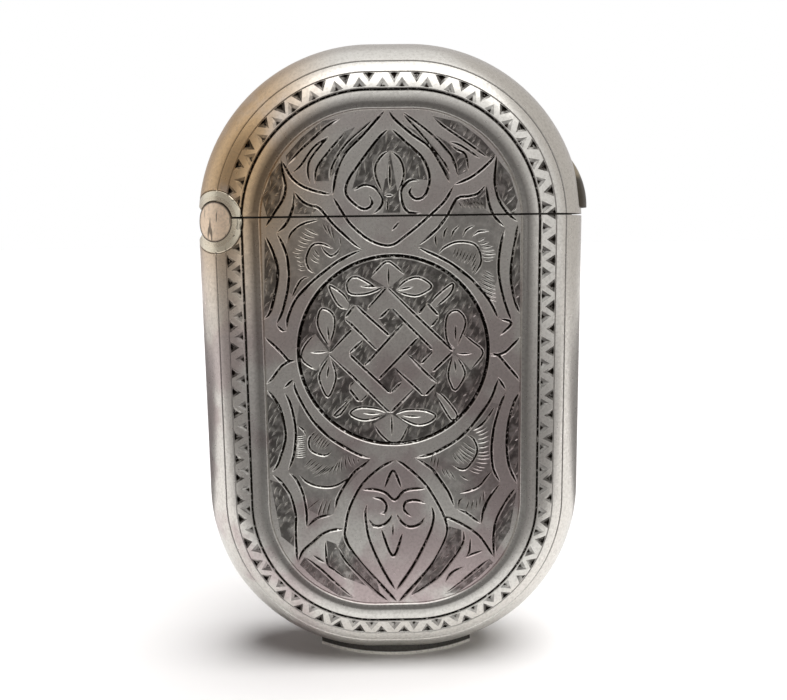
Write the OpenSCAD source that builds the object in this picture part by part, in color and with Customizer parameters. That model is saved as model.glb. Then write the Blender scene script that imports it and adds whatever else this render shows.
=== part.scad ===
// Vesta case: a pocket box for wax matches, of two stamped silver halves with a side-hinged lid.
// It stands on its striker plate, with the engraved front towards -Y and the hinge at -X.

/* [Case] */
// Width across the sides
case_w = 31; // [27:0.5:36]
// Height of the shells, without the striker plate
case_h = 50; // [46:0.5:58]
// Radius of the rounded edge, half the depth of the case
edge_r = 5; // [4.5:0.1:5.5]
// Radius of the four corners
corner_r = 14; // [11:0.5:15]
// Thickness of the silver sheet
wall = 0.6; // [0.4:0.05:0.8]

/* [Lid] */
// Height of the lid, from the top of the case down to the body's mouth
lid_h = 13.5; // [13:0.25:17]
// Gap between the body and the closed lid
seam_gap = 0.15; // [0.1:0.05:0.3]

/* [Mouth bezel] */
// Thickness of the collar in the mouth
bezel_t = 0.5; // [0.4:0.05:0.7]
// How far the collar stands above the mouth
bezel_rise = 1.6; // [0.8:0.1:2.2]
// How deep the collar is soldered into the body
bezel_depth = 3; // [2:0.5:6]
// Room between the collar and the lid
bezel_clearance = 0.15; // [0.12:0.01:0.25]
// Room between the collar's ends and the hinge
bezel_end_gap = 0.4; // [0.3:0.1:1.5]

/* [Hinge] */
// Distance of the hinge axis from the side of the case
hinge_inset = 1.9; // [1.7:0.1:2.4]
// Distance of the hinge axis below the mouth
hinge_drop = 0.2; // [0:0.05:0.4]
// Outside radius of the knuckles
knuckle_r = 1.55; // [1.3:0.05:1.7]
// Length of each of the three inner knuckles
knuckle_l = 1.5; // [1.2:0.1:1.7]
// Gap between neighbouring knuckles
knuckle_gap = 0.05; // [0.03:0.01:0.1]
// Radius of the hinge pin
pin_r = 0.45; // [0.3:0.05:0.6]
// Length of the hinge pin
pin_l = 6.4; // [5.6:0.1:6.8]
// Running clearance of the pin in the lid's knuckles
pin_clearance = 0.03; // [0.02:0.01:0.06]
// Thickness of the half tubes that bear the knuckles
bearer_t = 0.4; // [0.3:0.05:0.5]
// Running clearance between a half tube and the other part's knuckles
bearer_clearance = 0.08; // [0.06:0.01:0.12]
// Angle that the lid opens
open_a = 70; // [50:1:80]
// Angle left between the two half tubes when the lid is open
stop_a = 5; // [4:1:10]

/* [Thumb piece] */
// How far the lip stands out from the lid
thumb_proud = 0.45; // [0.35:0.05:0.9]
// Radius of the lip seen from above
thumb_r = 3; // [2.5:0.1:4]
// Height of the lip
thumb_h = 3; // [2:0.1:4]
// Height of the lip's lower edge above the lid's edge
thumb_lift = 0.5; // [0.2:0.1:1.5]
// How far the lip's top runs into the lid
thumb_sink = 0.3; // [0.25:0.05:0.5]

/* [Striker] */
// Length of the striker plate
striker_l = 13; // [10:0.5:15]
// Width of the striker plate
striker_w = 4.4; // [4:0.1:5]
// Radius of the plate's long sides
striker_side_r = 11; // [10:0.5:14]
// Height of the plate at its ends, where it meets the curve of the shells
striker_t = 1.3; // [1.1:0.05:1.6]
// How far the plate stands below the shells
striker_proud = 0.35; // [0.3:0.05:0.5]
// Spacing of the striking ridges
ridge_pitch = 0.7; // [0.5:0.05:1]
// Depth of the grooves between the ridges
ridge_depth = 0.16; // [0.1:0.02:0.2]
// Width of each groove
groove_w = 0.5; // [0.3:0.05:0.6]
// Plain border round the ridges
striker_border = 0.6; // [0.4:0.1:1]

/* [Engraving] */
// Distance of the sunk panel's rim from the silhouette
panel_inset = 5.55; // [5.2:0.05:6]
// Depth of the sunk panel
panel_sink = 0.12; // [0.05:0.01:0.18]
// Distance of the deep border line from the silhouette
deep_line_inset = 4.2; // [3.8:0.1:4.6]
// Distance of the thin border line from the silhouette
thin_line_inset = 2; // [1.6:0.1:2.4]
// Width of the engraved lines
line_w = 0.3; // [0.2:0.05:0.4]
// Depth of the engraved lines
line_depth = 0.1; // [0.05:0.01:0.14]
// Inside radius of the ring in the middle of the panel
ring_r = 7.4; // [6:0.1:8]
// Width of the ring
ring_w = 1.05; // [0.8:0.05:1.3]
// Height of the ring's middle above the middle of the case
ring_rise = 1.2; // [0:0.1:2]
// Side of the knot's square frame
knot_side = 6.8; // [5.6:0.1:7.2]
// Width of the knot's straps
strap_w = 1.2; // [0.9:0.05:1.3]

/* [Hidden] */
$fn = 96;

// The corners' centres, from the middle of the case
corner_x = case_w / 2 - corner_r;
corner_y = case_h / 2 - corner_r;

// Heights above the surface that the case stands on
centre_z = striker_proud + case_h / 2;
mouth_z = striker_proud + case_h - lid_h;
lid_z = mouth_z + seam_gap;

// The hinge, seen from the front with angles counted from +X towards +Z
hinge_x = hinge_inset - case_w / 2;
hinge_z = mouth_z - hinge_drop;
bearer_r = knuckle_r + bearer_t;
seat_r = knuckle_r + bearer_clearance;
free_a = open_a + stop_a;
lid_stop_a = 180 - free_a / 2;
body_stop_a = 180 + free_a / 2;

// Places of the knuckles along the pin, from the middle outwards
middle_end = knuckle_l / 2;
lid_start = middle_end + knuckle_gap;
lid_end = lid_start + knuckle_l;
outer_start = lid_end + knuckle_gap;
outer_end = edge_r;

// The lip's profile is an arc that starts upright at its lower edge
thumb_drop = thumb_proud + thumb_sink;
thumb_arc_r = (pow(thumb_h, 2) + pow(thumb_drop, 2)) / (2 * thumb_drop);

// Strap edges on the right half of the panel, as arcs: centre from the middle of the case, radius, and
// the angles they run between. They keep their place on a case of another size.
strap_scale = [case_w / 31, case_h / 50];
strap_arcs = [
    // side straps, from the top down: outer and inner edges
    [11.6, 14.3, 3.85, 153, 238], [11.6, 14.3, 4.65, 186, 233],
    [16.8, 7.1, 7.6, 154, 206], [16.8, 7.1, 8.6, 157, 206],
    [15, -5.8, 6.1, 144, 216], [15, -5.8, 7.3, 149, 211],
    [14.8, -14.2, 6.9, 140, 193], [14.8, -14.2, 8, 144, 170],
    // points of the straps
    [2.6, 20.3, 6.86, 288, 321], [2.6, 20.3, 8, 292, 304],
    [2.6, -19.2, 6.86, 39, 75], [2.6, -19.2, 8, 56, 72],
    // upper and lower cartouches
    [-2.46, 11.68, 7.3, 17, 68], [-4.4, -14.95, 8.75, 13, 59], [-7, -10.5, 11.4, 309, 347],
    [-2.6, -15.2, 8.75, 27, 63]
];

// A cutting block's size, well outside the case
far = 2 * case_h;

silver = "#b9b6ae";
bright_silver = "#cfccc4";
tarnished_silver = "#98907f";
steel = "#8a8d90";

// Section of the case from start out to the rounded edge at reach
module edge_section(start, reach, inset) {
    half_d = edge_r - inset;
    translate([start, -half_d])
        square([reach - edge_r - start, 2 * half_d]);
    translate([reach - edge_r, 0])
        intersection() {
            circle(half_d);
            translate([0, -2 * half_d])
                square([2 * half_d, 4 * half_d]);
        }
}

// The whole case as a solid lying on its back, drawn in by inset all round
module tablet(inset) {
    for (x = [0, 1], y = [0, 1])
        mirror([x, 0, 0])
            mirror([0, y, 0])
                translate([corner_x, corner_y, 0])
                    rotate_extrude(angle = 90)
                        edge_section(0, corner_r, inset);
    for (x = [0, 1])
        mirror([x, 0, 0])
            translate([0, corner_y, 0])
                rotate([90, 0, 0])
                    linear_extrude(2 * corner_y)
                        edge_section(0, case_w / 2, inset);
    for (y = [0, 1])
        mirror([0, y, 0])
            translate([-corner_x, 0, 0])
                rotate([90, 0, 90])
                    linear_extrude(2 * corner_x)
                        edge_section(corner_y, case_h / 2, inset);
}

// The same solid standing up, with its front towards -Y
module upright_tablet(inset)
    translate([0, 0, centre_z])
        rotate([90, 0, 0])
            tablet(inset);

// Everything between two heights
module level(from_z, to_z)
    translate([-far, -far, from_z])
        cube([2 * far, 2 * far, to_z - from_z]);

// A bar along Y, on the hinge's axis
module on_axis(r, from_y, to_y)
    translate([hinge_x, from_y, hinge_z])
        rotate([-90, 0, 0])
            cylinder(r = r, h = to_y - from_y);

// The wedge left of the hinge that the opening lid swings through
module swing_wedge()
    translate([hinge_x, far, hinge_z])
        rotate([90, 0, 0])
            linear_extrude(2 * far)
                polygon([
                    [0, 0],
                    far * [cos(lid_stop_a), sin(lid_stop_a)],
                    [-2 * far, 0],
                    far * [cos(body_stop_a), sin(body_stop_a)]
                ]);

// What the hinge takes out of the shells
module hinge_notch() {
    on_axis(bearer_r, -far, far);
    swing_wedge();
}

// The outline of the face, drawn in by inset
module face_outline(inset) {
    square([case_w - 2 * inset, 2 * corner_y], center = true);
    square([2 * corner_x, case_h - 2 * inset], center = true);
    for (x = [-1, 1], y = [-1, 1])
        translate([x * corner_x, y * corner_y])
            circle(corner_r - inset);
}

// How far the rounded edge has fallen back at an inset from the silhouette
function edge_fall(inset) = edge_r - sqrt(pow(edge_r, 2) - pow(max(edge_r - inset, 0), 2));

// A flat shape cut into the front, floor_depth below the face
module front_cut(floor_depth)
    translate([0, floor_depth - edge_r, centre_z])
        rotate([90, 0, 0])
            linear_extrude(edge_r)
                children();

// A line round the face at an inset
module border_line(inset)
    front_cut(edge_fall(inset) + line_depth)
        difference() {
            face_outline(inset - line_w / 2);
            face_outline(inset + line_w / 2);
        }

// A line along part of a circle
module arc_line(r, from_a, to_a)
    intersection() {
        difference() {
            circle(r + line_w / 2);
            circle(r - line_w / 2);
        }
        polygon([
            [0, 0],
            2 * r * [cos(from_a), sin(from_a)],
            3 * r * [cos((from_a + to_a) / 2), sin((from_a + to_a) / 2)],
            2 * r * [cos(to_a), sin(to_a)]
        ]);
    }

// The ring in the middle of the panel
module ring_lines()
    translate([0, ring_rise])
        for (r = [ring_r, ring_r + ring_w])
            difference() {
                circle(r + line_w / 2);
                circle(r - line_w / 2);
            }

// The straps and cartouches round the ring
module strap_lines()
    for (side = [0, 1], arc = strap_arcs)
        mirror([side, 0])
            translate([arc[0] * strap_scale[0], arc[1] * strap_scale[1]])
                arc_line(arc[2], arc[3], arc[4]);

// A strap's two edges
module strap_edges(length)
    for (side = [-1, 1])
        translate([0, side * (strap_w - line_w) / 2])
            square([length, line_w], center = true);

// The knot: a square frame on its point, with two straps crossed in it
module knot_lines()
    translate([0, ring_rise])
        rotate(45) {
            difference() {
                square(knot_side, center = true);
                square(knot_side - 2 * line_w, center = true);
            }
            difference() {
                square(knot_side - 2 * strap_w + 2 * line_w, center = true);
                square(knot_side - 2 * strap_w, center = true);
            }
            strap_edges(knot_side + 2 * strap_w);
            rotate(90)
                strap_edges(knot_side + 2 * strap_w);
        }

// The engraving's main forms. The finer cuts between them follow the same straps.
module engraving(knotted) {
    border_line(thin_line_inset);
    border_line(deep_line_inset);
    front_cut(panel_sink)
        face_outline(panel_inset);
    front_cut(panel_sink + line_depth)
        intersection() {
            face_outline(panel_inset);
            union() {
                ring_lines();
                strap_lines();
                if (knotted) knot_lines();
            }
        }
}

// A stamped half between two heights. The back is the front's mirror image, with its ring left plain.
module half_shell(from_z, to_z, knotted)
    difference() {
        intersection() {
            difference() {
                upright_tablet(0);
                upright_tablet(wall);
            }
            translate([-far, -far, from_z])
                cube([2 * far, far, to_z - from_z]);
        }
        hinge_notch();
        engraving(knotted);
    }

// A half tube between two heights, eased where the other part's knuckles turn in it
module hinge_bearer(from_z, to_z, eased)
    difference() {
        intersection() {
            on_axis(bearer_r, -edge_r, edge_r);
            upright_tablet(0);
            level(from_z, to_z);
        }
        on_axis(knuckle_r, -far, far);
        for (span = eased)
            on_axis(seat_r, span[0], span[1]);
        swing_wedge();
    }

// A tube of the hinge, filed flush with the case
module knuckle(from_y, to_y, bore_r)
    intersection() {
        difference() {
            on_axis(knuckle_r, from_y, to_y);
            on_axis(bore_r, -far, far);
        }
        upright_tablet(0);
    }

// The outline of the striker plate, seen from below: two arcs, with the points cut round
module striker_outline(border)
    intersection() {
        circle(striker_l / 2 - border);
        translate([0, striker_side_r - striker_w / 2])
            circle(striker_side_r - border);
        translate([0, striker_w / 2 - striker_side_r])
            circle(striker_side_r - border);
    }

// The V grooves between the striking ridges
module striking_grooves() {
    count = floor((striker_l / 2 - 2 * striker_border) / ridge_pitch);
    for (i = [-count:count])
        translate([i * ridge_pitch, far, 0])
            rotate([90, 0, 0])
                linear_extrude(2 * far)
                    polygon([[-groove_w / 2, 0], [groove_w / 2, 0], [0, ridge_depth]]);
}

module striker_plate()
    color(silver)
        difference() {
            linear_extrude(striker_t)
                striker_outline(0);
            upright_tablet(0);
            intersection() {
                striking_grooves();
                linear_extrude(striker_t, center = true)
                    striker_outline(striker_border);
            }
        }

module body_front_shell()
    color(silver)
        half_shell(0, mouth_z, true);

module body_back_shell()
    color(silver)
        mirror([0, 1, 0])
            half_shell(0, mouth_z, false);

module mouth_bezel()
    color(bright_silver)
        difference() {
            union() {
                intersection() {
                    upright_tablet(wall);
                    level(mouth_z - bezel_depth, mouth_z);
                }
                intersection() {
                    upright_tablet(wall + bezel_clearance);
                    level(mouth_z, mouth_z + bezel_rise);
                }
            }
            upright_tablet(wall + bezel_t);
            translate([hinge_x + bearer_r + bezel_end_gap - far, -far, 0])
                cube([far, 2 * far, far]);
        }

module body_hinge_bearer()
    color(bright_silver)
        hinge_bearer(0, mouth_z, [[-outer_start, -middle_end], [middle_end, outer_start]]);

module body_knuckle_front()
    color(tarnished_silver)
        mirror([0, 1, 0])
            knuckle(outer_start, outer_end, pin_r);

module body_knuckle_middle()
    color(tarnished_silver)
        knuckle(-middle_end, middle_end, pin_r);

module body_knuckle_rear()
    color(tarnished_silver)
        knuckle(outer_start, outer_end, pin_r);

module hinge_pin()
    color(steel)
        on_axis(pin_r, -pin_l / 2, pin_l / 2);

// A plug in the end of the pin's hole, filed flush with the case
module hinge_plug()
    intersection() {
        on_axis(pin_r, pin_l / 2, outer_end);
        upright_tablet(0);
    }

module hinge_plug_front()
    color(tarnished_silver)
        mirror([0, 1, 0])
            hinge_plug();

module hinge_plug_rear()
    color(tarnished_silver)
        hinge_plug();

module lid_front_shell()
    color(silver)
        half_shell(lid_z, far, true);

module lid_back_shell()
    color(silver)
        mirror([0, 1, 0])
            half_shell(lid_z, far, false);

module lid_hinge_bearer()
    color(bright_silver)
        hinge_bearer(lid_z, far, [[-far, -lid_end], [-lid_start, lid_start], [lid_end, far]]);

module lid_knuckle_front()
    color(tarnished_silver)
        mirror([0, 1, 0])
            knuckle(lid_start, lid_end, pin_r + pin_clearance);

module lid_knuckle_rear()
    color(tarnished_silver)
        knuckle(lid_start, lid_end, pin_r + pin_clearance);

module thumb_piece() {
    // The lip is thin, so its facets and those of the side it fits are finer
    $fn = 240;
    color(bright_silver)
        difference() {
            translate([case_w / 2 + thumb_proud - thumb_r, 0, lid_z + thumb_lift])
                rotate_extrude()
                    intersection() {
                        translate([thumb_r - thumb_arc_r, 0])
                            circle(thumb_arc_r);
                        square([thumb_r, thumb_arc_r]);
                    }
            upright_tablet(0);
        }
}

striker_plate();
body_front_shell();
body_back_shell();
mouth_bezel();
body_hinge_bearer();
body_knuckle_front();
body_knuckle_middle();
body_knuckle_rear();
hinge_pin();
hinge_plug_front();
hinge_plug_rear();
lid_front_shell();
lid_back_shell();
lid_hinge_bearer();
lid_knuckle_front();
lid_knuckle_rear();
thumb_piece();
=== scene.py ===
import math

import bpy
import numpy as np
from mathutils import Matrix, Vector
from mathutils.geometry import delaunay_2d_cdt


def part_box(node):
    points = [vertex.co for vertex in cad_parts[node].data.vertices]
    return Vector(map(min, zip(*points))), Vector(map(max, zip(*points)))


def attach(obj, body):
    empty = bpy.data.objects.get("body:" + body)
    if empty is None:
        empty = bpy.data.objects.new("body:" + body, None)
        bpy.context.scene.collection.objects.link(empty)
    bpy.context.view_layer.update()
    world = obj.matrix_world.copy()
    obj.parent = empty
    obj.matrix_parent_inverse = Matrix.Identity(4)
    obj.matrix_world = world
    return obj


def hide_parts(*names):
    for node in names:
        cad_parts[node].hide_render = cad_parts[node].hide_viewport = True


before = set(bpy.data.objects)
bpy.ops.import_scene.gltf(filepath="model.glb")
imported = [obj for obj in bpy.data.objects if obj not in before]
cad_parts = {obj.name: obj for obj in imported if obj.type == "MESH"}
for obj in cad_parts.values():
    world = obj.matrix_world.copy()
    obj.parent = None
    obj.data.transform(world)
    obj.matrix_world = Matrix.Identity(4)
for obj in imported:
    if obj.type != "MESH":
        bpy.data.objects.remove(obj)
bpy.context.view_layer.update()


# The outline of the case
# The silver halves are stamped tablets: a flat face with round corners, rolled over at the edge in a
# quarter round. Points on it are kept flattened, in millimetres from the middle of the face: x to the
# right and q up.
MM = 0.001
body_low, body_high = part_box("body_front_shell")
lid_low, lid_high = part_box("lid_front_shell")
half_w = (body_high[0] - body_low[0]) / MM / 2
half_h = (lid_high[2] - body_low[2]) / MM / 2
middle_z = (lid_high[2] + body_low[2]) / MM / 2
edge_r = -body_low[1] / MM
corner_r = 14.0
wall = 0.6
flat_r = corner_r - edge_r
straight_x = half_w - corner_r
straight_q = half_h - corner_r
corners = np.array(((-1, 1), (1, 1), (1, -1), (-1, -1))) * (straight_x, straight_q)
rolled = edge_r * math.pi / 2
panel_inset = 0.55
panel_sink = 0.12
tiny = 1e-9


def from_flat_edge(points):
    """Distance from the edge of the flat face, positive outside it, and the way out."""
    side = np.where(points < 0, -1.0, 1.0)
    over = np.abs(points) - np.array((straight_x, straight_q))
    corner = np.maximum(over, 0.0)
    reach = np.linalg.norm(corner, axis=1)
    distance = reach + np.minimum(over.max(axis=1), 0.0) - flat_r
    along = np.where(
        (reach > tiny)[:, None],
        corner / np.maximum(reach, tiny)[:, None],
        np.stack((over[:, 0] > over[:, 1], over[:, 0] <= over[:, 1]), axis=1),
    )
    return distance, along * side


def flatten(points):
    """Points as seen from the front, laid out flat over the rolled edge."""
    points = np.asarray(points, dtype=float)
    distance, out = from_flat_edge(points)
    over = np.clip(distance, 0.0, edge_r)
    return points + out * (edge_r * np.arcsin(over / edge_r) - over)[:, None]


def surface(points, inner=False):
    """Flattened points back on the rolled tablet: places and normals, facing the front."""
    distance, out = from_flat_edge(points)
    over = np.maximum(distance, 0.0)
    angle = over / edge_r
    radius = edge_r - wall if inner else edge_r
    sink = 0.0 if inner else panel_sink
    plan = points + out * (radius * np.sin(angle) - over)[:, None]
    dip = np.clip(-distance / panel_inset, 0.0, 1.0)
    sunk = sink * dip * dip * (3 - 2 * dip)
    slope = -sink * 6 * dip * (1 - dip) / panel_inset
    places = np.column_stack((plan[:, 0], -radius * np.cos(angle) + sunk, plan[:, 1]))
    tilt = np.sin(angle) + slope
    normals = np.column_stack((out[:, 0] * tilt, -np.cos(angle), out[:, 1] * tilt))
    normals /= np.linalg.norm(normals, axis=1)[:, None]
    return places, normals


def round_case(distance, shares, spread):
    """Points distance outside the flat face, at shares of the way round as it measures spread outside it."""
    quarter = math.pi / 2 * (flat_r + spread)
    lengths = np.array((2 * straight_x, quarter, 2 * straight_q, quarter) * 2)
    ends = np.concatenate(((0.0,), np.cumsum(lengths)))
    points = []
    for place in shares * ends[-1]:
        leg = min(int(np.searchsorted(ends, place, side="right")), len(lengths)) - 1
        part = (place - ends[leg]) / lengths[leg]
        heading = (leg // 2) * math.pi / 2
        start = corners[leg // 2]
        stop = corners[(leg // 2 + 1) % len(corners)]
        if leg % 2 == 1:
            heading += part * math.pi / 2
            start = stop
        out = np.array((math.sin(heading), math.cos(heading)))
        points.append(start + (stop - start) * part + out * (flat_r + distance))
    return np.array(points)


def edge_ring(distance, count, spread):
    """count points round the case, distance outside the flat face, evenly spaced at spread outside it."""
    return round_case(distance, np.arange(count) / count, spread)


# The graver's cuts
# Each line is one cut of a square graver: a straight-sided groove that runs out to nothing at its ends.
# Cuts are kept as short runs, so that a groove's depth is known anywhere. A run is a row of seven numbers:
# where it starts, where it stops, its half width at each, and how steep its sides are.
cut_slope = 0.8
longest_end = 0.7
most_of_cut = 0.45
blunt_end = 0.16
tooth_heel = 0.04
cell = 1.0
slack = 1e-6
no_length = 1e-12


def curve(points, step=0.22):
    """A smooth line through points read along an engraved line."""
    points = np.asarray(points, dtype=float)
    padded = np.vstack((2 * points[0] - points[1], points, 2 * points[-1] - points[-2]))
    line = []
    for a, b, c, d in zip(padded, padded[1:], padded[2:], padded[3:]):
        count = max(1, int(np.linalg.norm(c - b) / step))
        for part in np.arange(count) / count:
            line.append(
                b
                + (c - a) * part / 2
                + (2 * a - 5 * b + 4 * c - d) * part**2 / 2
                + (3 * b - a - 3 * c + d) * part**3 / 2
            )
    line.append(points[-1])
    return np.array(line)


class Engraving:
    """The cuts on one face: the outlines that the mesh keeps, and the runs that give the depth."""

    def __init__(self):
        self.places = []
        self.edges = []
        self.runs = []

    def keep(self, points, closed=False):
        """Makes a line part of the mesh."""
        first = len(self.places)
        self.places.extend(points)
        last = len(points) - 1
        self.edges.extend((first + i, first + i + 1) for i in range(last))
        if closed:
            self.edges.append((first + last, first))

    def cut(self, points, width, closed=False, blunt=False):
        """A groove along points, width at its widest. It runs out at its ends, quickly where it is blunt."""
        points = np.asarray(points, dtype=float)
        if closed:
            ahead = np.roll(points, -1, axis=0) - np.roll(points, 1, axis=0)
            half = np.full(len(points), width / 2)
        else:
            ahead = np.gradient(points, axis=0)
            steps = np.linalg.norm(np.diff(points, axis=0), axis=1)
            gone = np.concatenate(((0.0,), np.cumsum(steps)))
            taper = blunt_end if blunt else min(longest_end, gone[-1] * most_of_cut)
            near = np.minimum(gone, gone[-1] - gone) / taper
            half = width / 2 * np.sqrt(np.clip(near, 0.0, 1.0))
        ahead /= np.linalg.norm(ahead, axis=1)[:, None]
        across = np.column_stack((-ahead[:, 1], ahead[:, 0])) * half[:, None]
        self.keep(points, closed)
        self.keep(points + across, closed)
        self.keep(points - across, closed)
        count = len(points)
        for i in range(count if closed else count - 1):
            j = (i + 1) % count
            self.runs.append((*points[i], *points[j], half[i], half[j], cut_slope))

    def tooth(self, base, point, width, deep):
        """A three-sided pick, deep at its base and rising to its point."""
        ahead = (point - base) / np.linalg.norm(point - base)
        across = np.array((-ahead[1], ahead[0])) * width / 2
        heel = base - ahead * tooth_heel
        self.keep(np.array((base, point)))
        self.keep(np.array((base + across, point, base - across, base)), closed=True)
        self.keep(np.array((base + across, heel, base - across)))
        self.runs.append((*base, *point, width / 2, 0.0, 2 * deep / width))

    def depth(self, points, slopes=(0.0, 1.0)):
        """How deep the cuts are at each point, of those whose sides slope between these two."""
        runs = np.array(self.runs)
        runs = runs[(runs[:, 6] > slopes[0]) & (runs[:, 6] < slopes[1])]
        reach = np.maximum(runs[:, 4], runs[:, 5])[:, None]
        low = np.floor((np.minimum(runs[:, 0:2], runs[:, 2:4]) - reach) / cell).astype(int)
        high = np.floor((np.maximum(runs[:, 0:2], runs[:, 2:4]) + reach) / cell).astype(int)
        near = {}
        for i in range(len(runs)):
            for a in range(low[i, 0], high[i, 0] + 1):
                for b in range(low[i, 1], high[i, 1] + 1):
                    near.setdefault((a, b), []).append(i)
        cells = np.floor(points / cell).astype(int)
        order = np.lexsort((cells[:, 1], cells[:, 0]))
        breaks = np.flatnonzero(np.any(np.diff(cells[order], axis=0), axis=1)) + 1
        deep = np.zeros(len(points))
        for group in np.split(order, breaks):
            listed = near.get(tuple(cells[group[0]]))
            if not listed:
                continue
            run = runs[listed]
            start = run[:, 0:2]
            along = run[:, 2:4] - start
            off = points[group][:, None, :] - start
            part = (off * along).sum(axis=2) / np.maximum((along**2).sum(axis=1), no_length)
            beside = (part > -slack) & (part < 1 + slack)
            part = np.clip(part, 0.0, 1.0)
            gap = np.linalg.norm(off - along * part[:, :, None], axis=2)
            half = run[:, 4] * (1 - part) + run[:, 5] * part
            picked = run[:, 6] != cut_slope
            fall = np.where(picked & ~beside, 0.0, run[:, 6] * (half - gap))
            deep[group] = np.clip(fall, 0.0, None).max(axis=1)
        return deep


# The border round the face
# A thin line, a row of wolf teeth picked from both sides so that a bright wriggle is left standing, and
# a deep line inside them, all cut over the rolled edge. The sunk panel inside has a crisp cut rim.
thin_line = 1.97
thin_width = 0.16
teeth_out = 2.94
guide_gap = 0.1
guide_width = 0.13
deep_line = 4.17
deep_width = 0.3
panel_rim = 5.56
rim_width = 0.2
ring_points = 360
tooth_pitch = 1.72
tooth_width = 0.98
tooth_uneven = (0.88, 1.08)
tooth_fall = (0.55, 0.68)
tooth_steps = 12
tooth_stray = 2
tooth_gap = 0.06
outer_depth = 0.14
inner_depth = outer_depth * 0.7


def rolled_over(inset):
    """How far outside the flat face a line lies that is seen at this inset from the silhouette."""
    return edge_r * math.asin((edge_r - inset) / edge_r) if inset < edge_r else edge_r - inset


def border(engraving, seed):
    """The lines round one face and the teeth between them, a little uneven, as a hand picks them."""
    rng = np.random.default_rng(seed)
    out = rolled_over(teeth_out)
    within = rolled_over(deep_line)
    middle = (out + within) / 2
    lines = (
        (rolled_over(thin_line), thin_width),
        (out + guide_gap, guide_width),
        (within, deep_width),
        (rolled_over(panel_rim), rim_width),
    )
    for distance, width in lines:
        engraving.cut(edge_ring(distance, ring_points, middle), width, closed=True)
    length = 4 * (straight_x + straight_q) + 2 * math.pi * (flat_r + middle)
    count = 2 * round(length / tooth_pitch)
    steps = count * tooth_steps
    foot = within + deep_width / 2 + tooth_gap
    for i in range(count):
        fall = (out - within) * rng.uniform(*tooth_fall)
        width = tooth_width * rng.uniform(*tooth_uneven)
        place = (i * tooth_steps + rng.integers(-tooth_stray, tooth_stray + 1)) % steps
        share = np.array((place,)) / steps
        outer = i % 2 == 0
        base, point = (out, out - fall) if outer else (foot, foot + fall)
        engraving.tooth(
            round_case(base, share, middle)[0],
            round_case(point, share, middle)[0],
            width, outer_depth if outer else inner_depth,
        )


front = Engraving()
border(front, 2)
back = Engraving()
border(back, 3)


# The strapwork on the face
# Interlaced straps swing out from a ring in the middle to four points, with an onion-shaped cartouche
# above the ring and another, upside down, below it. Every strap edge is one cut.
ring_middle = np.array((0.05, 1.22))
ring_inner = 7.35
ring_width = 0.4
ring_steps = 150
strap_width = 0.32
turn = np.linspace(0, 2 * math.pi, ring_steps, endpoint=False)
circle = np.column_stack((np.cos(turn), np.sin(turn)))
for face in (front, back):
    face.cut(ring_middle + ring_inner * circle, ring_width, closed=True)

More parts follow.
